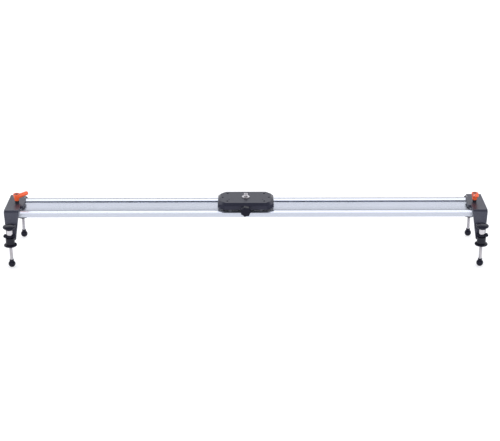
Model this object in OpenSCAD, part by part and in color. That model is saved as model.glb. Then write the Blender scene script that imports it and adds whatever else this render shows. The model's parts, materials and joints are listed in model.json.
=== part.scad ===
// Camera slider: a dovetail rail on two bent end brackets with four screw feet,
// and a roller carriage with a camera screw and a lock knob.
// Origin on the floor under the middle of the rail. +X runs along the rail,
// +Y to the rear, +Z up. Millimetres.

/* [Rail] */
// Overall length over the end brackets
rail_l = 1200; // [700:10:1500]
// Width over the two ridges
rail_w = 104; // [100:1:130]
// Height of the ridge crowns above the floor
rail_top = 127; // [120:1:160]
// Width of each running ridge
ridge_w = 22; // [20:0.5:24]
// Rise of each crown over its edges
crown_rise = 2; // [1:0.5:3]
// Height of the rail's side faces
side_h = 10.8; // [9:0.2:14]
// Drop from a crown to the edge of the channel floor
channel_d = 4; // [3.6:0.1:5]
// Extra drop of the floor at its middle line
valley_d = 1.3; // [0.5:0.1:1.5]
// Reach of the dovetail undercut below each lip
undercut = 3.5; // [2.5:0.5:4]
// Thickness of the floor plate at its edges
floor_t = 4; // [3:0.5:5]
// Width of the keel under the floor
keel_w = 26; // [24:1:40]
// Thickness of the plastic end caps
cap_t = 2; // [1.5:0.5:3]
// Diameter of the tripod thread
tripod_d = 9.525; // [6.35, 9.525]

/* [End brackets] */
// Width of a bracket along the rail
bracket_w = 36.5; // [30:0.5:44]
// Thickness of the bent plate
bracket_t = 6.7; // [5:0.1:7]
// Inside radius of each bend
bend_r = 2; // [1:0.5:4]
// Distance from the rail's side in to the start of each bend
bend_in = 1.5; // [1:0.1:1.6]
// Outward lean of each leg from upright
leg_lean = 20; // [14:1:24]
// Length of a leg below its bend
leg_l = 68; // [60:1:76]
// Width of a leg at its tip
leg_tip_w = 22.5; // [20:0.5:26]
// Length of the stop tab at the inner edge
tab_l = 6.5; // [6:0.5:12]
// Width of the stop tab
tab_w = 50; // [40:1:60]

/* [Clamp levers] */
// Distance of each lever's axis from the end of the rail
lever_inset = 24; // [22:0.5:30]
// Diameter of the clamping stud
lever_stud_d = 8; // [6:0.5:8]
// Height of the collar under the lever's hub
collar_h = 5.2; // [4:0.2:7]
// Top diameter of the hub
hub_d = 17.5; // [16.5:0.5:20]
// Height of the hub
hub_h = 17.5; // [16:0.5:20]
// Reach of the arm from the axis to its tip centre
arm_reach = 25; // [22:1:40]
// Diameter of the arm's tip
arm_tip_d = 10.8; // [8:0.2:11.2]
// Lift that frees the lever from its teeth
lever_lift = 4.5; // [3:0.5:4.5]

/* [Feet] */
// Distance of each foot's axis from the leg's outer face, at the bolt
foot_out = 16; // [15.5:0.5:17]
// Diameter of the threaded rod
rod_d = 8; // [6:0.5:8]
// Diameter of the ball at the floor
ball_d = 17.4; // [14:0.2:20]
// Height of the top of the ball's neck
neck_top = 20.5; // [17:0.5:24]
// Diameter of the threaded block on the leg
block_d = 22; // [20:0.5:24]
// Height of the block
block_h = 16; // [14:0.5:18]
// Diameter of the lower lock disc
disc_d = 32; // [26:1:36]
// Thickness of the lower lock disc
disc_t = 5.2; // [4:0.2:7]
// Reach of each wing of the lock nut
wing_reach = 16; // [14:0.5:18]
// Diameter of the hand knob on the rod
knob_d = 32; // [28:1:36]
// Size of the hex nut across its flats
nut_af = 13; // [12:0.5:14]
// Height of the hex nut
nut_h = 13; // [6:0.5:14]

/* [Carriage] */
// Length of the carriage along the rail
car_l = 140; // [130:1:180]
// Distance of the carriage's long sides in from the rail's sides
car_inset = 7; // [4:0.5:7.5]
// Height of the carriage body
car_h = 16; // [16:0.5:20]
// Gap from the crowns to the carriage body
car_gap = 3.6; // [3:0.1:5]
// Width of the sloping edge round the top
car_bevel = 6.5; // [4:0.5:6.5]
// Cut across each corner of the body, along each side
car_corner = 17; // [10:0.5:18]
// Diameter of the rollers
roller_d = 13; // [12:0.5:13]
// Width of the rollers
roller_w = 5; // [4:0.5:5]
// Distance of the rollers from the middle of the carriage
roller_x = 38; // [34:1:40]
// Diameter of the camera screw
screw_d = 9.525; // [6.35, 9.525]
// Height of the camera screw above its flange
screw_h = 10; // [6:0.5:12]
// Diameter of the flange under the camera
flange_d = 19.5; // [16:0.5:24]
// Distance of the accessory holes from the middle
hole_x = 58; // [54:0.5:60]
// Diameter of the accessory holes
hole_d = 5; // [4:0.5:6]
// Diameter of the lock knob
lock_d = 25.5; // [18:0.5:28]
// Distance of the lock knob's face from the carriage
lock_out = 28; // [22:1:34]

/* [Hidden] */
$fn = 64;
gap = 0.3;       // running gap between separate bodies
fit = 0.05;      // radial play of a thread, shaft or press fit
e = 0.01;

feet = ["front_left", "front_right", "rear_left", "rear_right"];
sides = ["left", "right"];

// rail section
rail_bot = rail_top - crown_rise - side_h;
ridge_y = rail_w / 2 - ridge_w / 2;
ridge_in = rail_w / 2 - ridge_w;
crown_r = (pow(ridge_w / 2, 2) + pow(crown_rise, 2)) / (2 * crown_rise);
floor_z = rail_top - channel_d;
lip_z = rail_top - crown_rise + 0.2;
slope = (lip_z - floor_z) / undercut;
chamber_y = ridge_in + undercut + 3.5;
chamber_w = rail_w / 2 - 2 - chamber_y;
chamber_z = rail_bot + 2;
chamber_h = rail_top - crown_rise - 1 - chamber_z;
insert_r = tripod_d / 2 + 2.3;
insert_h = floor_z - valley_d - rail_bot - 1.5;

// bracket
br_x = rail_l / 2 - bracket_w / 2;
br_z = rail_top + gap;
bend_y = rail_w / 2 - bend_in;
bend_z = br_z - bend_r;
bolt_v = leg_l - 7;
bolt_r = 3;
bolt_y = bend_y + bolt_v * sin(leg_lean) + (bend_r + bracket_t) * cos(leg_lean);
bolt_z = bend_z - bolt_v * cos(leg_lean) + (bend_r + bracket_t) * sin(leg_lean);

// clamp lever
lv_x = rail_l / 2 - lever_inset;
lv_z = br_z + bracket_t;
hub_z = lv_z + gap + collar_h;
hub_r = hub_d / 2;
spline_r = 4.4;
spline_h = 4.7;
web_z = hub_z + spline_h + 0.6;
web_t = 1.5;
head_z = hub_z + hub_h - 4;
head_r = hub_r - 3.2;
spring_r = head_r - 0.8;
arm_z = hub_z + hub_h - 7;
tip_z = hub_z + hub_h + 2.7;
lever_turn = [-5, -90];

// feet
rod_r = rod_d / 2;
rod_fit = rod_r + fit;
foot_y = bolt_y + foot_out;
block_z = bolt_z - 1 - block_h / 2;
block_top = block_z + block_h;
wing_r = 4.5;
wing_z = block_top + gap + wing_r;
hub_nut_h = 6.2;
nut_z = wing_z + 3.9;
knob_z = nut_z + nut_h;

// carriage
car_w = rail_w - 2 * car_inset;
car_z = rail_top + car_gap;
car_top = car_z + car_h;
roller_y = ridge_y - 1.5;
roller_z = rail_top + gap + roller_d / 2;
axle_r = 2;
axle_l = min(roller_w + 3.4, 2 * (car_w / 2 - roller_y - 1.3));
neck_d = screw_d - 0.6;
keeper_y = ridge_in - 0.4;
keeper_l = 104;
keeper_sx = 46;
keeper_sy = keeper_y - 3.6;
lock_z = car_z + 4.9;
stud_r = 3;

module at_side(i) mirror([i == 0 ? 1 : 0, 0, 0]) children();
module at_foot(i) translate([(i % 2 == 0 ? -1 : 1) * br_x, (i < 2 ? -1 : 1) * foot_y, 0])
    rotate([0, 0, i < 2 ? 180 : 0]) children();
module along_x(l) rotate([90, 0, 90]) linear_extrude(height = l, center = true) children();

// ---- rail ----

module rail_outline() difference() {
    union() {
        for (s = [-1, 1]) intersection() {
            translate([s * ridge_y, rail_top - crown_r]) circle(crown_r, $fn = 96);
            translate([s * ridge_y - ridge_w / 2, rail_bot])
                square([ridge_w, rail_top - rail_bot + 1]);
        }
        polygon([[-chamber_y, floor_z], [-ridge_in, floor_z], [0, floor_z - valley_d],
            [ridge_in, floor_z], [chamber_y, floor_z], [chamber_y, floor_z - floor_t],
            [-chamber_y, floor_z - floor_t]]);
        translate([-keel_w / 2, rail_bot]) square([keel_w, floor_z - valley_d - rail_bot - 1]);
    }
    for (s = [-1, 1]) polygon([[s * (ridge_in - 1), floor_z], [s * (ridge_in + undercut), floor_z],
        [s * ridge_in, lip_z], [s * (ridge_in - 1), lip_z]]);
}

module chambers(play = 0) for (s = [-1, 1])
    translate([s * (chamber_y + chamber_w / 2), chamber_z + chamber_h / 2])
        square([chamber_w - 2 * play, chamber_h - 2 * play], center = true);

module rail_extrusion() color("silver") difference() {
    along_x(rail_l - 2 * cap_t) difference() {
        rail_outline();
        chambers();
    }
    translate([0, 0, rail_bot - e]) cylinder(r = insert_r + fit, h = insert_h + e);
}

module rail_end_caps() color("dimgray") for (s = [-1, 1]) {
    translate([s * (rail_l - cap_t) / 2, 0, 0]) along_x(cap_t) rail_outline();
    translate([s * (rail_l / 2 - cap_t - 4 + e / 2), 0, 0]) along_x(8 + e) chambers(0.2);
}

module tripod_insert() color("gray") translate([0, 0, rail_bot]) difference() {
    cylinder(r = insert_r, h = insert_h);
    translate([0, 0, -e]) cylinder(r = tripod_d / 2, h = insert_h + 2 * e);
}

// ---- end brackets ----

module leg_outline() {
    c = 5;
    polygon([[-bracket_w / 2, -e], [bracket_w / 2, -e], [leg_tip_w / 2, leg_l - c],
        [leg_tip_w / 2 - c, leg_l], [c - leg_tip_w / 2, leg_l], [-leg_tip_w / 2, leg_l - c]]);
    for (s = [-1, 1]) translate([s * (leg_tip_w / 2 - c), leg_l - c]) circle(c);
}

// Local frame of the rear leg: +Y down the leg, +Z out of its outer face
module at_leg() translate([0, bend_y, bend_z]) rotate([leg_lean - 90, 0, 0]) children();

module bend() along_x(bracket_w) translate([bend_y, bend_z]) intersection() {
    difference() {
        circle(bend_r + bracket_t);
        circle(bend_r);
    }
    polygon([[0, 0], [40 * cos(leg_lean), 40 * sin(leg_lean)], [40, 40], [0, 40]]);
}

module bracket() color("#3c3c44") difference() {
    union() {
        translate([-bracket_w / 2, -bend_y, br_z]) cube([bracket_w, 2 * bend_y, bracket_t]);
        translate([-bracket_w / 2 - tab_l, 0, br_z]) linear_extrude(bracket_t) {
            translate([3, -tab_w / 2]) square([tab_l + 4, tab_w]);
            translate([0, 3 - tab_w / 2]) square([tab_l, tab_w - 6]);
            for (s = [-1, 1]) translate([3, s * (tab_w / 2 - 3)]) circle(3);
        }
        for (m = [0, 1]) mirror([0, m, 0]) {
            bend();
            at_leg() translate([0, 0, bend_r]) linear_extrude(bracket_t) leg_outline();
        }
    }
    translate([lv_x - br_x, 0, br_z - e]) cylinder(r = lever_stud_d / 2 + gap, h = bracket_t + 2 * e);
    for (m = [0, 1]) mirror([0, m, 0]) at_leg() translate([0, bolt_v, 0])
        cylinder(r = bolt_r + gap, h = bend_r + bracket_t + e);
}

// Edge that hooks under a lip of the channel, up to height z
function dovetail(z) = [[ridge_in + undercut - 1, floor_z + gap],
    [keeper_y - 0.5, lip_z - 0.35], [keeper_y - 0.5, z]];

module clamp_bar() color("gray") translate([lv_x, 0, 0]) difference() {
    along_x(28) polygon(concat(dovetail(br_z - gap), [for (k = [2:-1:0])
        [-dovetail(br_z - gap)[k][0], dovetail(br_z - gap)[k][1]]]));
    translate([0, 0, floor_z - 5]) cylinder(r = lever_stud_d / 2 + fit, h = 20);
}

module block_bolts() color("#222226") for (m = [0, 1]) mirror([0, m, 0])
    at_leg() translate([0, bolt_v, 0]) difference() {
        union() {
            translate([0, 0, bend_r - 5]) cylinder(r = 5, h = 5);
            cylinder(r = bolt_r, h = bend_r + bracket_t + 7);
        }
        translate([0, 0, bend_r - 5 - e]) cylinder(r = 2.9, h = 3, $fn = 6);
    }

// ---- clamp levers ----

module lever_insert() color("#26262a") difference() {
    union() {
        translate([0, 0, floor_z + gap]) cylinder(r = lever_stud_d / 2, h = hub_z - floor_z - gap);
        translate([0, 0, lv_z + gap]) cylinder(r = 4.9, h = collar_h - gap);
        translate([0, 0, hub_z - gap - e]) linear_extrude(spline_h + gap) {
            circle(spline_r - 0.5);
            for (k = [0:11]) rotate(30 * k) translate([spline_r - 0.7, 0])
                square([1.4, 0.9], center = true);
        }
    }
    translate([0, 0, hub_z - 2]) cylinder(r = 2 + fit, h = spline_h + 3);
}

module lever_handle() color("#ee5f37") difference() {
    union() {
        translate([0, 0, hub_z]) cylinder(r1 = 5.7, r2 = hub_r, h = hub_h);
        translate([2, 0, arm_z]) rotate([0, atan2(arm_reach - 2, tip_z - arm_z), 0])
            cylinder(r1 = 5.8, r2 = arm_tip_d / 2 - 0.2, h = norm([arm_reach - 2, tip_z - arm_z]));
        translate([arm_reach, 0, tip_z]) sphere(d = arm_tip_d);
    }
    translate([0, 0, hub_z - 8]) cylinder(r = spline_r + 0.3, h = 8 + spline_h + 0.6);
    translate([0, 0, web_z - 1]) cylinder(r = 2 + gap, h = 4);
    translate([0, 0, web_z + web_t]) cylinder(r = head_r + gap, h = hub_h);
}

module lever_cap_screw() color("#17171b") difference() {
    union() {
        translate([0, 0, head_z]) cylinder(r = head_r, h = 3);
        translate([0, 0, hub_z - 1.5]) cylinder(r = 2, h = head_z - hub_z + 1.5 + e);
    }
    translate([0, 0, head_z + 1.2]) cylinder(r = 2.4, h = 3, $fn = 6);
}

// Closed compression spring: one swept tube
spring_n = 56;
spring_k = 8;
module lever_spring() color("lightgray") {
    w = 0.45;
    z0 = web_z + web_t + 0.1 + w;
    dz = head_z - 0.1 - w - z0;
    pts = [for (i = [0:spring_n]) for (k = [0:spring_k - 1])
        let (a = 360 * 3.5 * i / spring_n, b = 360 * k / spring_k, r = spring_r + w * cos(b))
        [r * cos(a), r * sin(a), z0 + dz * i / spring_n + w * sin(b)]];
    quads = [for (i = [0:spring_n - 1]) for (k = [0:spring_k - 1]) let (n = (k + 1) % spring_k)
        [i * spring_k + k, (i + 1) * spring_k + k, (i + 1) * spring_k + n, i * spring_k + n]];
    polyhedron(pts, concat(quads, [[for (k = [0:spring_k - 1]) k]],
        [[for (k = [spring_k - 1:-1:0]) spring_n * spring_k + k]]));
}

module at_lever(i) translate([(i == 0 ? -1 : 1) * lv_x, 0, 0])
    rotate([0, 0, lever_turn[i]]) children();

// ---- feet: each drawn at its own axis, with +Y away from the rail ----

module foot_block() color("#2e2e34") difference() {
    union() {
        translate([0, 0, block_z]) cylinder(d = block_d, h = block_h);
        translate([0, -foot_y, 0]) at_leg() translate([-8, bolt_v - 4, bend_r + bracket_t])
            cube([16, 10, 10]);
    }
    translate([0, 0, block_z - 20]) cylinder(r = rod_fit, h = 60);
    translate([0, -foot_y, 0]) at_leg() translate([0, bolt_v, 0])
        cylinder(r = bolt_r + fit, h = bend_r + bracket_t + 7.5);
}

module ball_foot() color("#1a1a20") difference() {
    union() {
        translate([0, 0, ball_d / 2 - gap]) sphere(d = ball_d);
        translate([0, 0, ball_d / 2]) cylinder(r = rod_r + 1.6, h = neck_top - ball_d / 2);
    }
    translate([-20, -20, -20]) cube([40, 40, 20]);
    translate([0, 0, ball_d / 2 + 3.5]) cylinder(r = rod_fit, h = neck_top);
}

module foot_rod() color("silver") translate([0, 0, ball_d / 2 + 4])
    cylinder(r = rod_r, h = knob_z + 10 - ball_d / 2 - 4);

module foot_nut() color("silver") translate([0, 0, nut_z]) difference() {
    cylinder(r = nut_af / 2 / cos(30), h = nut_h, $fn = 6);
    translate([0, 0, -e]) cylinder(r = rod_fit, h = nut_h + 2 * e);
}

module foot_knob() color("#1a1a20") translate([0, 0, knob_z]) difference() {
    union() {
        cylinder(d = 20, h = 4);
        translate([0, 0, 4 - e]) cylinder(d1 = knob_d - 3, d2 = knob_d, h = 1.5 + e);
        translate([0, 0, 5.5 - e]) cylinder(d = knob_d, h = 3.5 + e);
        intersection() {
            translate([0, 0, 9 - e]) cylinder(d1 = knob_d, d2 = knob_d - 4, h = 4);
            translate([0, 0, 13 - 44]) sphere(r = 44);
        }
    }
    translate([0, 0, -e]) cylinder(r = rod_fit, h = 10.3);
}

module wing_nut() color("#2a2a30") difference() {
    union() {
        translate([0, 0, block_top + gap]) cylinder(r = rod_r + 3, h = hub_nut_h);
        rotate([90, 0, 0]) linear_extrude(height = 5, center = true) for (s = [-1, 1]) {
            translate([s * (wing_reach - wing_r), wing_z]) circle(wing_r);
            polygon([[0, block_top + gap], [s * (wing_reach - wing_r), block_top + gap],
                [s * (wing_reach - wing_r), wing_z + 2], [s * (rod_r + 3), block_top + gap + hub_nut_h - 1],
                [0, block_top + gap + hub_nut_h - 1]]);
        }
    }
    translate([0, 0, block_top - 5]) cylinder(r = rod_fit, h = 20);
}

module lock_disc() color("#1f1f25") translate([0, 0, block_z - gap - disc_t]) difference() {
    union() {
        cylinder(d1 = disc_d - 3, d2 = disc_d, h = 1.5);
        translate([0, 0, 1.5 - e]) cylinder(d = disc_d, h = disc_t - 3 + 2 * e);
        translate([0, 0, disc_t - 1.5]) cylinder(d1 = disc_d, d2 = disc_d - 3, h = 1.5);
    }
    translate([0, 0, -e]) cylinder(r = rod_fit, h = disc_t + 2 * e);
}

// ---- carriage ----

module at_rollers() for (sx = [-1, 1]) for (sy = [-1, 1])
    translate([sx * roller_x, sy * roller_y, roller_z]) children();

module carriage_plate() color("#55555f") difference() {
    translate([-car_l / 2, -car_w / 2, car_z]) cube([car_l, car_w, car_h]);
    for (s = [-1, 1]) {
        translate([0, s * (car_w / 2 - car_bevel), car_top]) rotate([s * 45, 0, 0])
            translate([-car_l, s < 0 ? -20 : 0, -20]) cube([2 * car_l, 20, 40]);
        translate([s * (car_l / 2 - car_bevel), 0, car_top]) rotate([0, -s * 45, 0])
            translate([s < 0 ? -20 : 0, -car_w, -20]) cube([20, 2 * car_w, 40]);
        for (t = [-1, 1]) translate([s * (car_l / 2 - car_corner / 2), t * (car_w / 2 - car_corner / 2), 0])
            rotate([0, 0, atan2(t, s)]) {
                translate([0, -30, car_z - 1]) cube([30, 60, car_h + 2]);
                translate([-car_bevel, 0, car_top]) rotate([0, 45, 0])
                    translate([-20, -30, 0]) cube([40, 60, 20]);
            }
        translate([s * hole_x, 0, car_top - 8]) cylinder(d = hole_d, h = 9);
        translate([s * (keeper_sx - 4), -14, car_top - 5]) cylinder(r = 1.5, h = 6);
        for (t = [-1, 1]) translate([s * keeper_sx, t * keeper_sy, 0]) {
            translate([0, 0, car_z - 1]) cylinder(r = 1.5 + gap, h = car_h + 2);
            translate([0, 0, car_z + 6]) cylinder(r = 2.75, h = car_h);
        }
    }
    at_rollers() {
        translate([-roller_d / 2 - 2, -roller_w / 2 - 0.5, -20])
            cube([roller_d + 4, roller_w + 1, 20 + roller_d / 2 + 0.6]);
        rotate([90, 0, 0]) cylinder(r = axle_r + fit, h = axle_l + 0.2, center = true);
        translate([-axle_r - fit, -axle_l / 2 - 0.1, -20]) cube([2 * (axle_r + fit), axle_l + 0.2, 20]);
    }
    translate([0, 0, car_z - 1]) cylinder(r = screw_d / 2 + fit, h = car_h + 2);
    translate([0, 0, car_z - 1]) cylinder(r = 7.6, h = 5);
    translate([0, -car_w / 2 - 1, lock_z]) rotate([-90, 0, 0])
        cylinder(r = stud_r + fit, h = car_w / 2 - ridge_y + 8);
    translate([-7 - fit, -ridge_y - 3 - fit, car_z - 1]) cube([14 + 2 * fit, 6 + 2 * fit, lock_z - car_z + 1]);
}

module keeper_strips() color("#8a8a92") for (t = [0, 1]) mirror([0, t, 0]) difference() {
    along_x(keeper_l) polygon(concat([[keeper_y - 8, car_z], [keeper_y - 8, floor_z + gap]],
        dovetail(rail_top + gap), [[keeper_y + 3, rail_top + gap], [keeper_y + 3, car_z]]));
    for (s = [-1, 1]) translate([s * keeper_sx, keeper_sy, floor_z - 5])
        cylinder(r = 1.5 + fit, h = 20);
}

module keeper_screws() color("#202024") for (s = [-1, 1]) for (t = [-1, 1])
    translate([s * keeper_sx, t * keeper_sy, 0]) difference() {
        union() {
            translate([0, 0, floor_z + 1]) cylinder(r = 1.5, h = car_z + 6 - floor_z);
            translate([0, 0, car_z + 6]) cylinder(r = 2.65, h = 3);
        }
        translate([0, 0, car_z + 7.6]) cylinder(r = 1.4, h = 3, $fn = 6);
    }

module roller() color("#c8c8cc") difference() {
    rotate([90, 0, 0]) cylinder(d = roller_d, h = roller_w, center = true);
    rotate([90, 0, 0]) cylinder(r = axle_r + fit, h = roller_w + 2, center = true);
}

module roller_axles() color("gray") at_rollers()
    rotate([90, 0, 0]) cylinder(r = axle_r, h = axle_l, center = true);

module camera_screw() color("#b4b4b8") {
    translate([0, 0, car_z]) cylinder(r = 7.5, h = 4, $fn = 6);
    translate([0, 0, car_z + 4 - e]) cylinder(d = neck_d, h = car_h - 4 + 2.5 + 2 * e);
    translate([0, 0, car_top + 2.5]) cylinder(d = screw_d, h = screw_h - 1);
    translate([0, 0, car_top + 2.5 + screw_h - 1]) cylinder(d1 = screw_d, d2 = screw_d - 2, h = 1);
}

module screw_flange() color("#b4b4b8") translate([0, 0, car_top]) difference() {
    cylinder(d = flange_d, h = 2.5);
    translate([0, 0, -e]) cylinder(r = screw_d / 2 + fit, h = 3);
}

module lock_knob() color("#1d1d22") translate([0, -car_w / 2, lock_z]) rotate([90, 0, 0]) difference() {
    union() {
        translate([0, 0, 1]) cylinder(r1 = 5.5, r2 = lock_d / 2 - 2.5, h = lock_out - 13 + e);
        translate([0, 0, lock_out - 12]) linear_extrude(12) {
            circle(lock_d / 2 - 1.4);
            for (k = [0:6]) rotate(360 / 7 * k) translate([lock_d / 2 - 3.2, 0]) circle(3.2);
        }
    }
    translate([0, 0, -1]) cylinder(r = stud_r + fit, h = lock_out - 5);
}

module lock_stud() color("silver") translate([0, 0, lock_z]) rotate([90, 0, 0])
    translate([0, 0, ridge_y - 3]) cylinder(r = stud_r, h = car_w / 2 - ridge_y + 3 + lock_out - 7);

module brake_shoe() color("#dcdcd4") translate([-7, -ridge_y - 3, rail_top + gap])
    cube([14, 6, lock_z - stud_r - gap - rail_top - gap]);

// ---- assembly ----

rail_extrusion();
rail_end_caps();
tripod_insert();
carriage_plate();
keeper_strips();
keeper_screws();
roller_axles();
camera_screw();
screw_flange();
lock_knob();
lock_stud();
brake_shoe();

for (i = [0, 1]) {
    at_side(i) translate([br_x, 0, 0]) bracket();
    at_side(i) clamp_bar();
    at_side(i) translate([br_x, 0, 0]) block_bolts();
    at_lever(i) lever_insert();
    at_lever(i) lever_handle();
    at_lever(i) lever_spring();
    at_lever(i) lever_cap_screw();
}

for (i = [0:3]) {
    at_foot(i) foot_block();
    at_foot(i) ball_foot();
    at_foot(i) foot_rod();
    at_foot(i) foot_knob();
    at_foot(i) foot_nut();
    at_foot(i) wing_nut();
    at_foot(i) lock_disc();
    translate([(i % 2 == 0 ? -1 : 1) * roller_x,
        (i < 2 ? -1 : 1) * roller_y, roller_z]) roller();
}
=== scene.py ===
"""Camera slider: the visible pieces, their finishes and the studio, laid out as an add-on."""

import json
import math

import bmesh
import bpy
from bpy.props import FloatProperty, FloatVectorProperty, IntProperty, PointerProperty
from mathutils import Matrix, Vector

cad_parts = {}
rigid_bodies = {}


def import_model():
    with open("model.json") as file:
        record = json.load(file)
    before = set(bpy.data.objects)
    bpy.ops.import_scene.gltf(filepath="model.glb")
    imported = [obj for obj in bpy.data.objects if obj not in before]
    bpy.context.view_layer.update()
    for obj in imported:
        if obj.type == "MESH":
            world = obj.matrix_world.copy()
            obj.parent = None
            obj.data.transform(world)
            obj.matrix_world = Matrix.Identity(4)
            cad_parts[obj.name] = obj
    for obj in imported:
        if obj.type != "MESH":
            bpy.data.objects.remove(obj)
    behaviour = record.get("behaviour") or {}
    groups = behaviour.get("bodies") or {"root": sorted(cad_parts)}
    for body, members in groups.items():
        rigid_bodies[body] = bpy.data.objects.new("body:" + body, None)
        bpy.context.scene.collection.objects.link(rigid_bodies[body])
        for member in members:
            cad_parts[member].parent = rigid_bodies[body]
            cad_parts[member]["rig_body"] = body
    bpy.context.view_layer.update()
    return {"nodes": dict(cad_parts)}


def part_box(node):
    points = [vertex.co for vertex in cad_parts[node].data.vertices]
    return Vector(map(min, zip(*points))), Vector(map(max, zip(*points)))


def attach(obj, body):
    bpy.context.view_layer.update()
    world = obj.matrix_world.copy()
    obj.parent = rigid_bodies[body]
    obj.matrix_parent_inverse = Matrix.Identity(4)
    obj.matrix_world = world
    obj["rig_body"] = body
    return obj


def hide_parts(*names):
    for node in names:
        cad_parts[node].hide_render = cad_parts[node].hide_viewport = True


bl_info = {
    "name": "Camera Slider",
    "version": (1, 0, 0),
    "blender": (4, 5, 0),
    "location": "3D View > Sidebar > Slider",
    "description": "Builds the pieces and finishes of a camera slider on its packed frame",
    "category": "Object",
}

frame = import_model()

MM = 0.001
SIDES = ("left", "right")
FEET = ("front_left", "front_right", "rear_left", "rear_right")
COOL = (0.84, 0.86, 1.0)  # specular tint of the black finishes
DUST = (0.52, 0.50, 0.47)

# Sockets of the Mix node in its colour mode.
MIX_A, MIX_B, MIX_RESULT = 6, 7, 2

# A pair of smoothing factors: the first shrinks the skin, the second swells it back.
SMOOTHING = (0.5, -0.52)

ROD_BORE = 4.05 * MM  # radius of the holes that the foot rods pass through
SCREW_CREST = 4.7625 * MM  # radius over the camera screw's thread
FLANGE_BORE = 4.81 * MM

# Light of the surroundings: degrees up from the horizon behind the rail, over the top, and level.
SKY = (
    (0, 0.26), (10, 0.27), (16, 0.31), (24, 0.54), (31, 0.76), (42, 0.88), (60, 0.88),
    (76, 0.38), (132, 0.26), (150, 0.77), (172, 0.76),
)
SKY_TINT = (0.95, 0.965, 1.0)
SKY_STRENGTH = 1.95


# ---------------------------------------------------------------- settings


def colour(name, description, default):
    """A colour property with the usual limits."""
    return FloatVectorProperty(
        name=name, description=description, subtype="COLOR", size=3, min=0, max=1, default=default
    )


def length(name, description, default):
    """A length property in metres."""
    return FloatProperty(name=name, description=description, unit="LENGTH", min=0, default=default)


class RailSettings(bpy.types.PropertyGroup):
    """Sizes and colours of the rail."""

    edge: length("Edge radius", "Rounding of the extrusion's edges", 0.4 * MM)
    metal: colour("Rail", "Colour of the satin anodised rail", (0.52, 0.545, 0.615))
    cap: colour("End caps", "Colour of the plastic end caps", (0.02, 0.02, 0.024))


class BracketSettings(bpy.types.PropertyGroup):
    """Sizes and colours of the end brackets."""

    edge: length("Edge radius", "Rounding of the bent plate's edges", 0.7 * MM)
    paint: colour("Bracket", "Colour of the coated brackets", (0.018, 0.018, 0.032))


class LeverSettings(bpy.types.PropertyGroup):
    """Sizes and colours of the clamp levers."""

    voxel: length("Skin cell", "Cell size of the cast skin before it is smoothed", 0.45 * MM)
    passes: IntProperty(
        name="Smoothing", description="Smoothing passes over the cast skin", default=5
    )
    handle: colour("Handle", "Colour of the orange handle", (0.86, 0.115, 0.030))


class FootSettings(bpy.types.PropertyGroup):
    """Sizes and colours of the screw feet."""

    pitch: length("Pitch", "Pitch of the rod's thread", 1.25 * MM)
    thread: length("Thread depth", "Depth of the rod's thread", 0.40 * MM)
    flutes: IntProperty(name="Flutes", description="Grip flutes round the knob's rim", default=20)
    ridges: IntProperty(name="Ridges", description="Grip ridges round the lock disc", default=36)
    plastic: colour("Knobs", "Colour of the glossy knobs and feet", (0.004, 0.004, 0.011))
    steel: colour("Rod", "Colour of the bright rod and nut", (0.60, 0.58, 0.60))


class CarriageSettings(bpy.types.PropertyGroup):
    """Sizes and colours of the carriage."""

    edge: length("Edge radius", "Rounding of the carriage body's edges", 0.5 * MM)
    body: colour("Body", "Colour of the black anodised body", (0.010, 0.010, 0.022))
    pitch: length("Pitch", "Pitch of the camera screw's thread", 1.5875 * MM)


class StageSettings(bpy.types.PropertyGroup):
    """The studio: camera, lights and floor."""

    lens: FloatProperty(name="Lens", description="Focal length", default=93.6)
    pitch: FloatProperty(
        name="Pitch", description="Downward tilt of the camera", subtype="ANGLE",
        default=math.radians(22.46),
    )
    roll: FloatProperty(
        name="Roll", description="Turn of the camera about its own axis", subtype="ANGLE",
        default=math.radians(-0.13),
    )
    eye: FloatVectorProperty(
        name="Eye", description="Place of the camera", subtype="TRANSLATION",
        default=(0.0105, -3.0440, 1.3416),
    )
    floor: colour("Floor", "Colour of the pale floor", (0.62, 0.62, 0.63))
    glow: FloatProperty(name="Glow", description="Light of the floor panel itself", default=0.55)


SETTINGS = {
    "slider_rail": RailSettings,
    "slider_bracket": BracketSettings,
    "slider_lever": LeverSettings,
    "slider_foot": FootSettings,
    "slider_carriage": CarriageSettings,
    "slider_stage": StageSettings,
}


# ---------------------------------------------------------------- finishes


def group(name, inputs, outputs):
    """An empty node group with the given float, vector or colour sockets."""
    tree = bpy.data.node_groups.new(name, "ShaderNodeTree")
    for label, kind, default in inputs:
        socket = tree.interface.new_socket(label, in_out="INPUT", socket_type=kind)
        if default is not None:
            socket.default_value = default
    for label, kind in outputs:
        tree.interface.new_socket(label, in_out="OUTPUT", socket_type=kind)
    return tree, tree.nodes.new("NodeGroupInput"), tree.nodes.new("NodeGroupOutput")


def maths(tree, operation, a, b=None, clamp=False):
    """A Math node whose inputs are sockets or numbers; returns its output."""
    node = tree.nodes.new("ShaderNodeMath")
    node.operation = operation
    node.use_clamp = clamp
    for socket, value in zip(node.inputs, (a, b)):
        if value is None:
            continue
        if isinstance(value, (int, float)):
            socket.default_value = value
        else:
            tree.links.new(value, socket)
    return node.outputs[0]


def spread(tree, value, low, high, to_low=0.0, to_high=1.0):
    """A Map Range node from low..high to to_low..to_high."""
    node = tree.nodes.new("ShaderNodeMapRange")
    limits = {"From Min": low, "From Max": high, "To Min": to_low, "To Max": to_high}
    for label, number in limits.items():
        node.inputs[label].default_value = number
    tree.links.new(value, node.inputs["Value"])
    return node.outputs["Result"]


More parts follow.
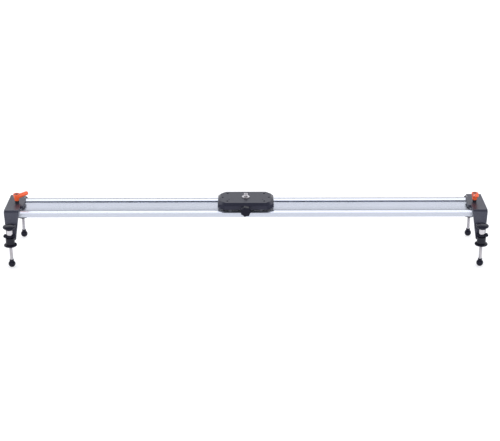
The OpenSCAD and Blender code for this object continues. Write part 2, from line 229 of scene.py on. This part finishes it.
def noise(tree, vector, scale, detail=4.0, rough=0.6):
    """A Noise Texture on a vector; scale is a socket or a number."""
    node = tree.nodes.new("ShaderNodeTexNoise")
    node.inputs["Detail"].default_value = detail
    node.inputs["Roughness"].default_value = rough
    tree.links.new(vector, node.inputs["Vector"])
    if isinstance(scale, (int, float)):
        node.inputs["Scale"].default_value = scale
    else:
        tree.links.new(scale, node.inputs["Scale"])
    return node.outputs["Fac"]


def grain_group():
    """Fine grain, stretched along one axis for drawn or brushed metal."""
    tree, given, out = group(
        "Surface grain",
        [("Vector", "NodeSocketVector", None), ("Stretch", "NodeSocketVector", (1, 1, 1)),
         ("Scale", "NodeSocketFloat", 900.0), ("Patch Scale", "NodeSocketFloat", 30.0)],
        [("Tone", "NodeSocketFloat"), ("Patch", "NodeSocketFloat"), ("Height", "NodeSocketFloat")],
    )
    scaled = tree.nodes.new("ShaderNodeVectorMath")
    scaled.operation = "MULTIPLY"
    tree.links.new(given.outputs["Vector"], scaled.inputs[0])
    tree.links.new(given.outputs["Stretch"], scaled.inputs[1])
    fine = noise(tree, scaled.outputs[0], given.outputs["Scale"], 3.0, 0.65)
    patch = noise(tree, given.outputs["Vector"], given.outputs["Patch Scale"], 3.0, 0.5)
    tree.links.new(spread(tree, fine, 0.3, 0.7), out.inputs["Tone"])
    tree.links.new(spread(tree, patch, 0.3, 0.7), out.inputs["Patch"])
    tree.links.new(fine, out.inputs["Height"])
    return tree


def wear_group():
    """A mask for rubbed edges, broken up by noise."""
    tree, given, out = group(
        "Edge wear",
        [("Vector", "NodeSocketVector", None), ("Amount", "NodeSocketFloat", 0.5),
         ("Scale", "NodeSocketFloat", 260.0)],
        [("Mask", "NodeSocketFloat")],
    )
    shape = tree.nodes.new("ShaderNodeNewGeometry")
    edge = spread(tree, shape.outputs["Pointiness"], 0.54, 0.66)
    broken = spread(tree, noise(tree, given.outputs["Vector"], given.outputs["Scale"]), 0.42, 0.62)
    mask = maths(tree, "MULTIPLY", edge, broken)
    tree.links.new(maths(tree, "MULTIPLY", mask, given.outputs["Amount"], True), out.inputs["Mask"])
    return tree


def dust_group():
    """A mask for the thin dust that settles on what faces up."""
    tree, given, out = group(
        "Settled dust",
        [("Vector", "NodeSocketVector", None), ("Amount", "NodeSocketFloat", 0.1)],
        [("Mask", "NodeSocketFloat")],
    )
    shape = tree.nodes.new("ShaderNodeNewGeometry")
    axes = tree.nodes.new("ShaderNodeSeparateXYZ")
    tree.links.new(shape.outputs["Normal"], axes.inputs[0])
    up = spread(tree, axes.outputs["Z"], 0.5, 1.0)
    specks = spread(tree, noise(tree, given.outputs["Vector"], 340.0, 6.0, 0.7), 0.40, 0.75)
    mask = maths(tree, "MULTIPLY", up, specks)
    tree.links.new(maths(tree, "MULTIPLY", mask, given.outputs["Amount"], True), out.inputs["Mask"])
    return tree


def shared(name):
    """The shared group of that name, built the first time it is asked for."""
    makers = {"Surface grain": grain_group, "Edge wear": wear_group, "Settled dust": dust_group}
    return bpy.data.node_groups.get(name) or makers[name]()


def mixed(tree, fac, a, b):
    """A colour mix; fac is a socket, a and b are sockets or plain colours."""
    node = tree.nodes.new("ShaderNodeMix")
    node.data_type = "RGBA"
    tree.links.new(fac, node.inputs["Factor"])
    for socket, value in ((node.inputs[MIX_A], a), (node.inputs[MIX_B], b)):
        if isinstance(value, (tuple, list)):
            socket.default_value = (*value, 1.0)
        else:
            tree.links.new(value, socket)
    return node.outputs[MIX_RESULT]


def finish(
    name, base, rough, metallic=0.0, coat=0.0, tone=0.10, scale=900.0, stretch=(1, 1, 1),
    patch=30.0, bump=0.15, depth=0.00003, wear=0.2, worn=(0.45, 0.45, 0.46), dust=0.01,
    rough_swing=0.06, ior=1.5, sheen=(1, 1, 1),
):
    """One procedural finish: grain, uneven gloss, rubbed edges and settled dust."""
    made = bpy.data.materials.get(name)
    if made:
        return made
    base = tuple(base)
    made = bpy.data.materials.new(name)
    made.use_nodes = True
    made.diffuse_color = (*base, 1.0)
    tree = made.node_tree
    shader = tree.nodes["Principled BSDF"]
    shader.inputs["Metallic"].default_value = metallic
    shader.inputs["IOR"].default_value = ior
    shader.inputs["Coat Weight"].default_value = coat
    shader.inputs["Coat Roughness"].default_value = 0.08
    shader.inputs["Specular Tint"].default_value = (*sheen, 1)
    place = tree.nodes.new("ShaderNodeTexCoord").outputs["Object"]
    masks = {}
    for label in ("Surface grain", "Edge wear", "Settled dust"):
        node = tree.nodes.new("ShaderNodeGroup")
        node.node_tree = shared(label)
        tree.links.new(place, node.inputs["Vector"])
        masks[label] = node
    grain = masks["Surface grain"]
    grain.inputs["Stretch"].default_value = stretch
    grain.inputs["Scale"].default_value = scale
    grain.inputs["Patch Scale"].default_value = patch
    masks["Edge wear"].inputs["Amount"].default_value = wear
    masks["Settled dust"].inputs["Amount"].default_value = dust
    dark = tuple(c * (1 - tone) for c in base)
    light = tuple(min(1.0, c * (1 + tone)) for c in base)
    both = maths(tree, "ADD", maths(tree, "MULTIPLY", grain.outputs["Tone"], 0.5),
                 maths(tree, "MULTIPLY", grain.outputs["Patch"], 0.5))
    tint = mixed(tree, both, dark, light)
    tint = mixed(tree, masks["Edge wear"].outputs["Mask"], tint, tuple(worn))
    dusty = masks["Settled dust"].outputs["Mask"]
    tint = mixed(tree, dusty, tint, DUST)
    tree.links.new(tint, shader.inputs["Base Color"])
    uneven = spread(tree, both, 0.0, 1.0, rough - rough_swing, rough + rough_swing)
    uneven = maths(tree, "ADD", uneven, maths(tree, "MULTIPLY", dusty, 0.4), True)
    tree.links.new(uneven, shader.inputs["Roughness"])
    relief = tree.nodes.new("ShaderNodeBump")
    relief.inputs["Strength"].default_value = bump
    relief.inputs["Distance"].default_value = depth
    tree.links.new(grain.outputs["Height"], relief.inputs["Height"])
    tree.links.new(relief.outputs["Normal"], shader.inputs["Normal"])
    return made


def finish_for(slot):
    """The finish that belongs to one of the record's material slots."""
    scene = bpy.context.scene
    rail, bracket, lever = scene.slider_rail, scene.slider_bracket, scene.slider_lever
    foot, carriage = scene.slider_foot, scene.slider_carriage
    steel = (0.40, 0.40, 0.41)
    table = {
        "rail": lambda: finish(
            "Satin anodised rail", rail.metal, 0.27, 0.92, tone=0.02, scale=700.0,
            stretch=(0.012, 1, 1), patch=5.0, bump=0.06, wear=0.15, worn=(0.8, 0.8, 0.82),
            dust=0.0, rough_swing=0.03),
        "cap": lambda: finish("Moulded cap", rail.cap, 0.55, tone=0.15, scale=1500.0, bump=0.4),
        "insert": lambda: finish(
            "Turned insert", steel, 0.35, 0.9, tone=0.08, stretch=(1, 1, 0.05)),
        "bracket": lambda: finish(
            "Powder coat", bracket.paint, 0.36, tone=0.12, scale=1700.0, patch=22.0, bump=0.2,
            depth=0.00004, wear=0.12, worn=(0.10, 0.10, 0.12), dust=0.006, rough_swing=0.04,
            sheen=COOL),
        "clamp": lambda: finish("Milled clamp", (0.5, 0.5, 0.53), 0.35, 0.9, stretch=(0.05, 1, 1)),
        "black_steel": lambda: finish(
            "Black oxide steel", (0.016, 0.016, 0.019), 0.32, 0.3, tone=0.2, wear=0.2, dust=0.005),
        "orange": lambda: finish(
            "Orange lever coat", lever.handle, 0.34, coat=0.25, tone=0.05, scale=1400.0,
            patch=45.0, bump=0.25, wear=0.15, worn=(0.95, 0.32, 0.14), dust=0.004),
        "spring": lambda: finish("Drawn wire", steel, 0.3, 0.95, stretch=(1, 1, 0.3)),
        "block": lambda: finish(
            "Coated block", (0.012, 0.012, 0.017), 0.38, tone=0.15, scale=1600.0, bump=0.2,
            wear=0.12, worn=(0.08, 0.08, 0.10), dust=0.005, ior=1.32, sheen=COOL),
        "knob": lambda: finish(
            "Glossy knob plastic", foot.plastic, 0.26, coat=0.05, tone=0.2, scale=1200.0,
            patch=60.0, bump=0.06, wear=0.05, worn=(0.05, 0.05, 0.06), dust=0.004, ior=1.27,
            sheen=COOL),
        "steel": lambda: finish(
            "Bright steel", foot.steel, 0.30, 0.95, tone=0.06, scale=1100.0,
            stretch=(1, 1, 0.25), bump=0.1, wear=0.1, worn=(0.7, 0.7, 0.7), dust=0.0),
        "carriage": lambda: finish(
            "Black anodised carriage", carriage.body, 0.33, tone=0.10, scale=1500.0,
            stretch=(0.2, 1, 1), patch=26.0, bump=0.12, wear=0.2, worn=(0.16, 0.16, 0.19),
            dust=0.006, ior=1.43, sheen=COOL),
        "keeper": lambda: finish("Slide strip", (0.52, 0.52, 0.49), 0.5, tone=0.05, bump=0.2),
        "bearing": lambda: finish("Ground bearing", (0.15, 0.15, 0.16), 0.38, 0.9, tone=0.04),
        "nylon": lambda: finish("Shoe nylon", (0.62, 0.61, 0.56), 0.5, tone=0.05, bump=0.2),
    }
    return table[slot]()


# ---------------------------------------------------------------- shaping


def piece(name, bm, slot, *nodes, smooth=32.0):
    """Turns a mesh into a finished piece that stands for CAD nodes and rides on their body."""
    bmesh.ops.recalc_face_normals(bm, faces=bm.faces)
    mesh = bpy.data.meshes.new(name)
    bm.to_mesh(mesh)
    bm.free()
    mesh.shade_smooth()
    mesh.set_sharp_from_angle(angle=math.radians(smooth))
    made = bpy.data.objects.new(name, mesh)
    bpy.context.scene.collection.objects.link(made)
    mesh.materials.append(finish_for(slot))
    even = made.modifiers.new("Even normals", "WEIGHTED_NORMAL")
    even.keep_sharp = True
    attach(made, frame["nodes"][nodes[0]]["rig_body"])
    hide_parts(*nodes)
    return made


def kept(node, slot):
    """Gives a CAD node that keeps its own mesh its finish."""
    data = frame["nodes"][node].data
    data.materials.clear()
    data.materials.append(finish_for(slot))


def centre(node):
    """The middle of a CAD node's box, with its lowest and highest corners."""
    low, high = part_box(node)
    return (low + high) / 2, low, high


def welded(node):
    """A copy of a CAD node's mesh, with its triangles joined into flat faces."""
    bm = bmesh.new()
    bm.from_mesh(frame["nodes"][node].data)
    bmesh.ops.remove_doubles(bm, verts=bm.verts, dist=1e-6)
    bmesh.ops.dissolve_limit(
        bm, angle_limit=math.radians(0.8), verts=bm.verts, edges=bm.edges, delimit={"NORMAL"}
    )
    return bm


def soften(bm, radius, segments=2, sharp=38.0):
    """Rounds every edge sharper than an angle."""
    edges = [e for e in bm.edges if e.is_manifold and e.calc_face_angle(0) > math.radians(sharp)]
    bmesh.ops.bevel(
        bm, geom=edges, offset=radius, offset_type="OFFSET", segments=segments, profile=0.5,
        affect="EDGES", clamp_overlap=True, material=-1,
    )
    return bm


def lathe(profile, steps=64, ring=False):
    """Turns a profile of (radius, height) points about Z."""
    bm = bmesh.new()
    verts = [bm.verts.new((r, 0, z)) for r, z in profile]
    edges = [bm.edges.new(pair) for pair in zip(verts, verts[1:])]
    if ring:
        edges.append(bm.edges.new((verts[-1], verts[0])))
    bmesh.ops.spin(
        bm, geom=verts + edges, cent=(0, 0, 0), axis=(0, 0, 1), dvec=(0, 0, 0),
        angle=math.tau, steps=steps, use_merge=True, use_duplicate=False,
    )
    bmesh.ops.remove_doubles(bm, verts=bm.verts, dist=1e-7)
    return bm


def arc(r0, z0, radius, start, end, count):
    """Points of an arc in the lathe's profile plane, in degrees."""
    angles = [math.radians(start + (end - start) * i / count) for i in range(count + 1)]
    return [(r0 + radius * math.cos(a), z0 + radius * math.sin(a)) for a in angles]


def thread(root, crest, pitch, low, high, steps=24):
    """A right-hand thread between two heights, closed at both ends."""
    bm = bmesh.new()
    turns = int((high - low) / pitch) - 1
    verts = [
        bm.verts.new((crest if i % 2 else root, 0, low + i * pitch / 2))
        for i in range(2 * turns + 1)
    ]
    edges = [bm.edges.new(pair) for pair in zip(verts, verts[1:])]
    bmesh.ops.spin(
        bm, geom=verts + edges, cent=(0, 0, 0), axis=(0, 0, 1), dvec=(0, 0, pitch / steps),
        angle=math.tau, steps=steps, use_merge=False, use_duplicate=False,
    )
    bmesh.ops.remove_doubles(bm, verts=bm.verts, dist=pitch * 0.02)
    bmesh.ops.holes_fill(bm, edges=[e for e in bm.edges if e.is_boundary], sides=0)
    return bm


def moved(bm, place, turn=None):
    """Turns a mesh, then moves it to its place."""
    if turn is not None:
        bmesh.ops.transform(bm, matrix=turn, verts=bm.verts)
    bmesh.ops.translate(bm, vec=place, verts=bm.verts)
    return bm


def joined(*parts):
    """Several shells as one mesh."""
    whole = parts[0]
    for part in parts[1:]:
        carrier = bpy.data.meshes.new("carrier")
        part.to_mesh(carrier)
        part.free()
        whole.from_mesh(carrier)
        bpy.data.meshes.remove(carrier)
    return whole


def fluted(bm, count, depth, beyond):
    """Presses grip flutes into the rim beyond a radius."""
    for vert in bm.verts:
        radius = math.hypot(vert.co.x, vert.co.y)
        if radius > beyond:
            angle = math.atan2(vert.co.y, vert.co.x)
            k = 1 - depth / radius * (0.5 + 0.5 * math.cos(count * angle))
            vert.co.x *= k
            vert.co.y *= k
    return bm


def hexagonal(bm, flats, beyond):
    """Cuts a turned blank's rim back to six flats."""
    for vert in bm.verts:
        radius = math.hypot(vert.co.x, vert.co.y)
        if radius > beyond:
            angle = (math.atan2(vert.co.y, vert.co.x) + math.tau) % (math.pi / 3) - math.pi / 6
            k = min(1.0, flats / 2 / math.cos(angle) / radius)
            vert.co.x *= k
            vert.co.y *= k
    return bm


# ---------------------------------------------------------------- pieces


class MakeRail(bpy.types.Operator):
    """Build the extruded rail, its end caps and its tripod insert"""

    bl_idname = "slider.make_rail"
    bl_label = "Make Rail"

    def execute(self, context):
        edge = context.scene.slider_rail.edge
        piece("Rail", soften(welded("rail_extrusion"), edge), "rail", "rail_extrusion")
        piece("Rail_end_caps", soften(welded("rail_end_caps"), edge), "cap", "rail_end_caps")
        piece("Tripod_insert", soften(welded("tripod_insert"), edge), "insert", "tripod_insert")
        return {"FINISHED"}


class MakeBrackets(bpy.types.Operator):
    """Build the two bent end brackets with their clamp bars, foot blocks and bolts"""

    bl_idname = "slider.make_brackets"
    bl_label = "Make End Brackets"

    def execute(self, context):
        edge = context.scene.slider_bracket.edge
        for side in SIDES:
            piece(f"Bracket_{side}", soften(welded(f"bracket_{side}"), edge, 3), "bracket",
                  f"bracket_{side}")
            piece(f"Clamp_bar_{side}", soften(welded(f"clamp_bar_{side}"), 0.3 * MM), "clamp",
                  f"clamp_bar_{side}")
            piece(f"Block_bolts_{side}", soften(welded(f"block_bolts_{side}"), 0.35 * MM),
                  "black_steel", f"block_bolts_{side}")
        for foot in FEET:
            piece(f"Foot_block_{foot}", soften(welded(f"foot_block_{foot}"), 0.6 * MM, 3), "block",
                  f"foot_block_{foot}")
        return {"FINISHED"}


class MakeLevers(bpy.types.Operator):
    """Build the two orange clamp levers"""

    bl_idname = "slider.make_levers"
    bl_label = "Make Clamp Levers"

    def execute(self, context):
        lever = context.scene.slider_lever
        for side in SIDES:
            self.handle(side, lever)
            piece(f"Lever_insert_{side}", soften(welded(f"lever_insert_{side}"), 0.2 * MM),
                  "black_steel", f"lever_insert_{side}")
            piece(f"Lever_cap_screw_{side}", soften(welded(f"lever_cap_screw_{side}"), 0.3 * MM),
                  "black_steel", f"lever_cap_screw_{side}")
            kept(f"lever_spring_{side}", "spring")
        return {"FINISHED"}

    def handle(self, side, lever):
        """One cast handle: the frame's shape with its joins and edges blended."""
        rough = bpy.data.meshes.new("rough")
        bm = welded(f"lever_handle_{side}")
        bm.to_mesh(rough)
        bm.free()
        blank = bpy.data.objects.new("blank", rough)
        bpy.context.scene.collection.objects.link(blank)
        cells = blank.modifiers.new("cells", "REMESH")
        cells.mode = "VOXEL"
        cells.voxel_size = lever.voxel
        skin = bpy.data.meshes.new_from_object(
            blank.evaluated_get(bpy.context.evaluated_depsgraph_get())
        )
        bpy.data.objects.remove(blank)
        bm = bmesh.new()
        bm.from_mesh(skin)
        bpy.data.meshes.remove(rough)
        bpy.data.meshes.remove(skin)
        for factor in SMOOTHING * lever.passes:
            bmesh.ops.smooth_vert(
                bm, verts=bm.verts, factor=factor, use_axis_x=True, use_axis_y=True,
                use_axis_z=True,
            )
        piece(f"Lever_handle_{side}", bm, "orange", f"lever_handle_{side}", smooth=60.0)


class MakeFeet(bpy.types.Operator):
    """Build the four screw feet: ball, rod, discs, nuts and knob"""

    bl_idname = "slider.make_feet"
    bl_label = "Make Feet"

    def execute(self, context):
        foot = context.scene.slider_foot
        for name in FEET:
            self.rod(name, foot)
            self.ball(name)
            self.knob(name, foot)
            self.disc(name, foot)
            self.nut(name)
            piece(f"Wing_nut_{name}", soften(welded(f"wing_nut_{name}"), 0.7 * MM, 3), "knob",
                  f"wing_nut_{name}")
        return {"FINISHED"}

    def rod(self, name, foot):
        """Threaded rod."""
        mid, low, high = centre(f"foot_rod_{name}")
        crest = (high.x - low.x) / 2
        bm = thread(crest - foot.thread, crest, foot.pitch, low.z, high.z)
        piece(f"Foot_rod_{name}", moved(bm, (mid.x, mid.y, 0)), "steel", f"foot_rod_{name}",
              smooth=50.0)

    def ball(self, name):
        """Ball with its neck and the socket for the rod."""
        mid, low, high = centre(f"ball_foot_{name}")
        r = (high.x - low.x) / 2
        neck, bevel, top = 5.3 * MM, 0.6 * MM, high.z
        sphere_z = r - 0.3 * MM
        socket = sphere_z + 3.9 * MM
        flat = math.degrees(math.asin(sphere_z / r))
        meet = math.degrees(math.acos((neck + 0.8 * MM) / r))
        profile = [(0, 0)] + arc(0, sphere_z, r, -flat, meet, 26)
        profile += [(neck, sphere_z + r * math.sin(math.radians(meet)) + 1.0 * MM)]
        profile += [(neck, top - bevel), (neck - bevel, top), (ROD_BORE, top)]
        profile += [(ROD_BORE, socket), (0, socket)]
        piece(f"Ball_foot_{name}", moved(lathe(profile, 56), (mid.x, mid.y, 0)), "knob",
              f"ball_foot_{name}", smooth=45.0)

    def knob(self, name, foot):
        """Mushroom knob with a domed top and a fluted rim."""
        mid, low, high = centre(f"foot_knob_{name}")
        r = (high.x - low.x) / 2
        profile = [(0, 10.25 * MM), (ROD_BORE, 10.25 * MM), (ROD_BORE, 0), (9.3 * MM, 0),
                   (10 * MM, 0.7 * MM), (10 * MM, 2.8 * MM), (10.5 * MM, 3.6 * MM),
                   (11.6 * MM, 4.0 * MM), (r - 2.2 * MM, 4.3 * MM), (r - 0.8 * MM, 5.0 * MM),
                   (r, 6.3 * MM), (r, 8.0 * MM), (r - 0.5 * MM, 9.2 * MM),
                   (r - 1.8 * MM, 10.2 * MM), (r - 4.5 * MM, 11.3 * MM), (r - 8 * MM, 12.3 * MM),
                   (r - 12 * MM, 12.85 * MM), (0, 13.0 * MM)]
        bm = fluted(lathe(profile, foot.flutes * 8), foot.flutes, 0.7 * MM, r - 1.0 * MM)
        piece(f"Foot_knob_{name}", moved(bm, (mid.x, mid.y, low.z)), "knob", f"foot_knob_{name}",
              smooth=50.0)

    def disc(self, name, foot):
        """Lower lock disc with a ridged rim."""
        mid, low, high = centre(f"lock_disc_{name}")
        r, t = (high.x - low.x) / 2, high.z - low.z
        profile = [(ROD_BORE, 0), (r - 2.4 * MM, 0), (r - 0.9 * MM, 0.5 * MM), (r, 1.5 * MM),
                   (r, t - 1.5 * MM), (r - 0.9 * MM, t - 0.5 * MM), (r - 2.4 * MM, t),
                   (r - 4 * MM, t), (r - 4.4 * MM, t - 0.4 * MM), (11.5 * MM, t - 0.4 * MM),
                   (11.1 * MM, t), (ROD_BORE, t)]
        blank = lathe(profile, foot.ridges * 6, ring=True)
        bm = fluted(blank, foot.ridges, 0.5 * MM, r - 0.95 * MM)
        piece(f"Lock_disc_{name}", moved(bm, (mid.x, mid.y, low.z)), "knob", f"lock_disc_{name}",
              smooth=50.0)

    def nut(self, name):
        """Hex nut with its corners turned back."""
        mid, low, high = centre(f"foot_nut_{name}")
        tall, flats = high.z - low.z, high.y - low.y
        corner, face = (high.x - low.x) / 2, flats / 2 - 0.1 * MM
        lip = 0.4 * MM
        profile = [(ROD_BORE, lip), (ROD_BORE + lip, 0), (face, 0), (corner, 0.9 * MM),
                   (corner, tall - 0.9 * MM), (face, tall), (ROD_BORE + lip, tall),
                   (ROD_BORE, tall - lip)]
        bm = hexagonal(lathe(profile, 72, ring=True), flats, face + 0.05 * MM)
        moved(bm, (mid.x, mid.y, low.z), Matrix.Rotation(math.radians(30), 4, "Z"))
        piece(f"Foot_nut_{name}", bm, "steel", f"foot_nut_{name}", smooth=25.0)


class MakeCarriage(bpy.types.Operator):
    """Build the carriage with its screws, rollers, strips and camera screw"""

    bl_idname = "slider.make_carriage"
    bl_label = "Make Carriage"

    def execute(self, context):
        carriage = context.scene.slider_carriage
        piece("Carriage_body", soften(welded("carriage_plate"), carriage.edge), "carriage",
              "carriage_plate")
        for name, node, slot in (
            ("Keeper_strips", "keeper_strips", "keeper"),
            ("Keeper_screws", "keeper_screws", "black_steel"),
            ("Roller_axles", "roller_axles", "steel"),
            ("Brake_shoe", "brake_shoe", "nylon"),
        ):
            piece(name, soften(welded(node), 0.25 * MM), slot, node)
        self.camera_screw(carriage)
        self.flange()
        for foot in FEET:
            self.roller(foot)
        return {"FINISHED"}

    def camera_screw(self, carriage):
        """Hex-headed screw with its thread standing above the flange."""
        mid, low, high = centre("camera_screw")
        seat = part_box("screw_flange")[1].z
        flats, tip = high.y - low.y, high.z
        corner, head_top = 7.4 * MM, 3.9 * MM
        shank, shank_foot = 4.4 * MM, 3.8 * MM
        shank_top = seat - low.z - shank_foot
        head = lathe([(0, 0), (6.3 * MM, 0), (corner, 0.8 * MM), (corner, head_top),
                      (0, head_top)], 72)
        moved(hexagonal(head, flats, 6.35 * MM), (mid.x, mid.y, low.z))
        neck = lathe([(0, 0), (shank, 0), (shank, shank_top), (0, shank_top)], 40)
        moved(neck, (mid.x, mid.y, low.z + shank_foot))
        screw = thread(SCREW_CREST - 0.85 * MM, SCREW_CREST, carriage.pitch, seat - 0.6 * MM,
                       tip - 0.2 * MM, 32)
        for vert in screw.verts:
            rise = tip - 1.6 * MM - vert.co.z
            limit = SCREW_CREST + min(0.0, rise) * 0.75
            radius = math.hypot(vert.co.x, vert.co.y)
            if radius > limit:
                vert.co.x *= limit / radius
                vert.co.y *= limit / radius
        moved(screw, (mid.x, mid.y, 0))
        piece("Camera_screw", joined(screw, neck, head), "steel", "camera_screw", smooth=40.0)

    def flange(self):
        """Knurled flange that the camera sits on."""
        mid, low, high = centre("screw_flange")
        r, t = (high.x - low.x) / 2, high.z - low.z
        profile = [(FLANGE_BORE, 0), (r - 0.5 * MM, 0), (r, 0.5 * MM), (r, t - 0.6 * MM),
                   (r - 0.6 * MM, t), (FLANGE_BORE, t)]
        bm = fluted(lathe(profile, 240, ring=True), 48, 0.25 * MM, r - 0.1 * MM)
        piece("Screw_flange", moved(bm, (mid.x, mid.y, low.z)), "steel", "screw_flange",
              smooth=40.0)

    def roller(self, foot):
        """Ball bearing used as a roller: races, shields and a bore."""
        mid, low, high = centre(f"roller_{foot}")
        r, w = (high.x - low.x) / 2, (high.y - low.y) / 2
        half = [(2.05 * MM, 0), (3.2 * MM, 0), (3.3 * MM, 0.3 * MM), (r - 1.2 * MM, 0.3 * MM),
                (r - 1.1 * MM, 0), (r - 0.2 * MM, 0), (r, 0.2 * MM)]
        profile = [(a, b - w) for a, b in half] + [(a, w - b) for a, b in reversed(half)]
        bm = moved(lathe(profile, 48, ring=True), mid, Matrix.Rotation(math.pi / 2, 4, "X"))
        piece(f"Roller_{foot}", bm, "bearing", f"roller_{foot}")


class MakeLock(bpy.types.Operator):
    """Build the lobed lock knob and its stud"""

    bl_idname = "slider.make_lock"
    bl_label = "Make Lock Knob"

    def execute(self, context):
        knob = soften(welded("lock_knob"), 0.7 * MM, 3)
        piece("Lock_knob", knob, "knob", "lock_knob", smooth=40.0)
        piece("Lock_stud", soften(welded("lock_stud"), 0.4 * MM), "steel", "lock_stud")
        return {"FINISHED"}


class MakeStage(bpy.types.Operator):
    """Set up the floor, the soft lights and the camera"""

    bl_idname = "slider.make_stage"
    bl_label = "Make Studio"

    def execute(self, context):
        stage = context.scene.slider_stage
        self.floor(stage)
        self.world(context.scene)
        self.light("Back_softbox", (0.0, 3.6, 2.9), (0, 0, 0.1), (5.0, 1.6), 20)
        self.light("Front_softbox", (0.0, -4.6, 2.0), (0, 0, 0.1), (3.2, 1.2), 30)
        self.camera(context.scene, stage)
        context.scene.view_settings.view_transform = "Standard"
        return {"FINISHED"}

    def floor(self, stage):
        """Plain pale floor."""
        bm = bmesh.new()
        bmesh.ops.create_grid(bm, x_segments=1, y_segments=1, size=30.0)
        mesh = bpy.data.meshes.new("Floor")
        bm.to_mesh(mesh)
        bm.free()
        floor = bpy.data.objects.new("Floor", mesh)
        bpy.context.scene.collection.objects.link(floor)
        paper = bpy.data.materials.new("Floor paper")
        paper.use_nodes = True
        shader = paper.node_tree.nodes["Principled BSDF"]
        shader.inputs["Base Color"].default_value = (*stage.floor, 1)
        shader.inputs["Emission Color"].default_value = (1, 1, 1, 1)
        shader.inputs["Emission Strength"].default_value = stage.glow
        shader.inputs["Roughness"].default_value = 0.9
        shader.inputs["Specular IOR Level"].default_value = 0.0
        mesh.materials.append(paper)

    def world(self, scene):
        """Bright walls behind and in front, a dark ceiling, dimmer near the horizon."""
        world = bpy.data.worlds.new("Studio")
        world.use_nodes = True
        tree = world.node_tree
        place = tree.nodes.new("ShaderNodeTexCoord").outputs["Generated"]
        axes = tree.nodes.new("ShaderNodeSeparateXYZ")
        tree.links.new(place, axes.inputs[0])
        angle = maths(tree, "ARCTAN2", axes.outputs["Z"], axes.outputs["Y"])
        ramp = tree.nodes.new("ShaderNodeValToRGB")
        tree.links.new(spread(tree, angle, 0.0, math.pi), ramp.inputs[0])
        bar = ramp.color_ramp
        for at, _ in SKY[1:-1]:
            bar.elements.new(at / 180)
        for element, (at, level) in zip(bar.elements, SKY):
            element.position = at / 180
            element.color = (*(level * share for share in SKY_TINT), 1)
        back = tree.nodes["Background"]
        tree.links.new(ramp.outputs["Color"], back.inputs["Color"])
        back.inputs["Strength"].default_value = SKY_STRENGTH
        scene.world = world

    def light(self, name, place, aim, size, power):
        """One rectangular softbox."""
        data = bpy.data.lights.new(name, "AREA")
        data.shape = "RECTANGLE"
        data.size, data.size_y = size
        data.energy = power
        lamp = bpy.data.objects.new(name, data)
        lamp.location = place
        lamp.rotation_euler = (Vector(aim) - Vector(place)).to_track_quat("-Z", "Y").to_euler()
        bpy.context.scene.collection.objects.link(lamp)

    def camera(self, scene, stage):
        """Camera at a low three-quarter height, square to the rail."""
        data = bpy.data.cameras.new("Camera")
        data.lens = stage.lens
        data.sensor_width = 36.0
        data.sensor_fit = "HORIZONTAL"
        eye = bpy.data.objects.new("Camera", data)
        eye.matrix_world = (
            Matrix.Translation(stage.eye)
            @ Matrix.Rotation(math.pi / 2 - stage.pitch, 4, "X")
            @ Matrix.Rotation(stage.roll, 4, "Z")
        )
        scene.collection.objects.link(eye)
        scene.camera = eye


class SLIDER_PT_build(bpy.types.Panel):
    """Lists the build steps and their settings"""

    bl_label = "Camera Slider"
    bl_space_type = "VIEW_3D"
    bl_region_type = "UI"
    bl_category = "Slider"

    def draw(self, context):
        for step in STEPS:
            self.layout.operator(step.bl_idname)
        for name, kind in SETTINGS.items():
            box = self.layout.box()
            for key in kind.__annotations__:
                box.prop(getattr(context.scene, name), key)


STEPS = (MakeStage, MakeRail, MakeBrackets, MakeLevers, MakeFeet, MakeCarriage, MakeLock)
CLASSES = (*SETTINGS.values(), *STEPS, SLIDER_PT_build)


def register():
    """Registers the classes and hangs the settings on the scene."""
    for kind in CLASSES:
        bpy.utils.register_class(kind)
    for name, kind in SETTINGS.items():
        setattr(bpy.types.Scene, name, PointerProperty(type=kind))


def unregister():
    """Takes everything off again."""
    for name in SETTINGS:
        delattr(bpy.types.Scene, name)
    for kind in reversed(CLASSES):
        bpy.utils.unregister_class(kind)


def main():
    """Builds the studio and every piece."""
    register()
    for step in STEPS:
        area, name = step.bl_idname.split(".")
        getattr(getattr(bpy.ops, area), name)()


if __name__ == "__main__":
    main()
